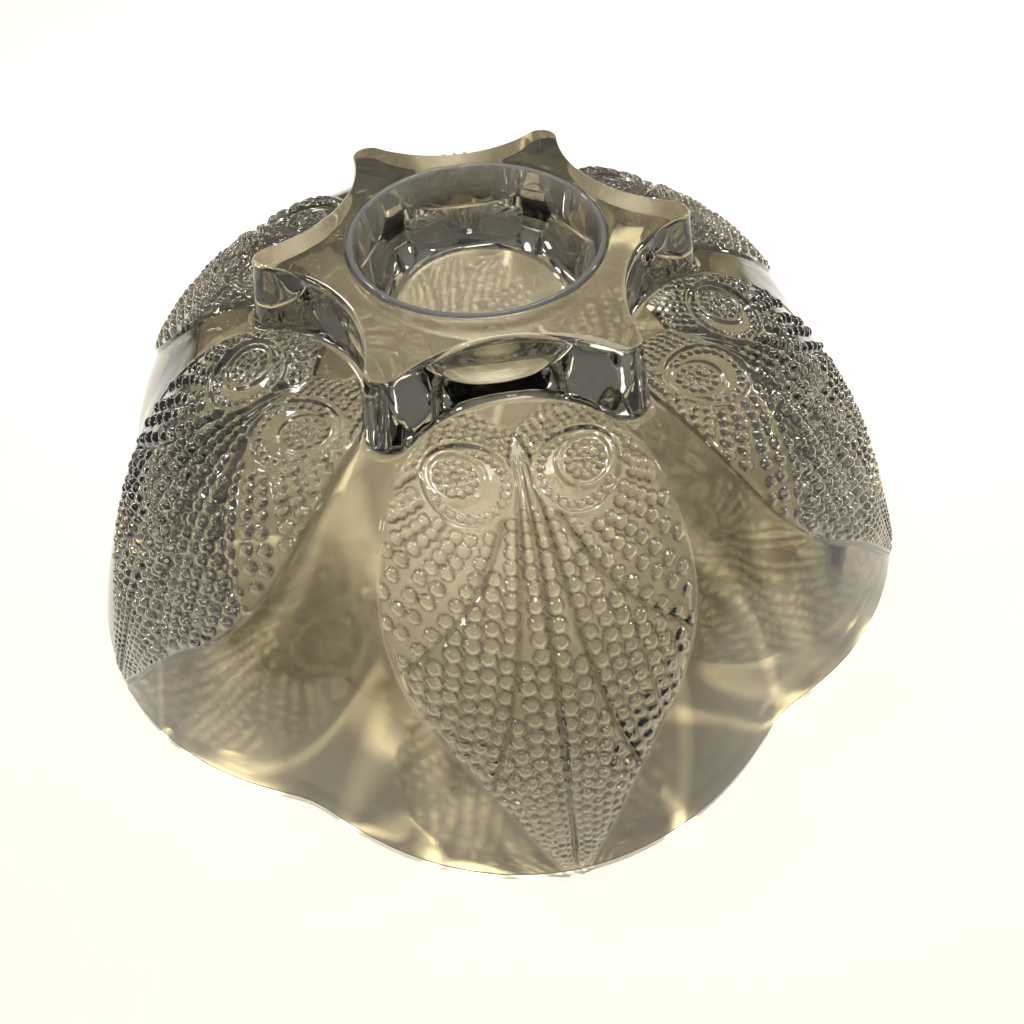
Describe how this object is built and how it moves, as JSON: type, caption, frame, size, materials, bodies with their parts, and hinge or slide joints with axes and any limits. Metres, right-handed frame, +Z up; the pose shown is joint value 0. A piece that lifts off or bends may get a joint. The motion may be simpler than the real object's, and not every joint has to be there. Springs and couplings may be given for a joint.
{
  "type": "chip and dip server",
  "caption": "Pressed clear glass server: a scalloped leaf-pattern dome on its rim, a solid star on top, and a round dip bowl that lifts out of the star.",
  "frame": {"origin": "on the axis of the dip bowl, at the height of the surface that the scalloped rim stands on", "axes": "+Z up along the axis of the dome, star and bowl, -Y through the peak of one scallop and its leaf"},
  "size_m": [0.3038, 0.32, 0.0943],
  "materials": {
    "body_glass": "clear pressed glass with raised leaf relief",
    "bowl_glass": "clear smooth pressed glass"
  },
  "bodies": {
    "server": {"server_body": "body_glass"},
    "bowl": {"dip_bowl": "bowl_glass"}
  },
  "joints": [
    {"name": "bowl_lift", "type": "slide", "parent": "server", "child": "bowl", "axis": [0, 0, 1], "range_m": [0, 0.06]}
  ]
}
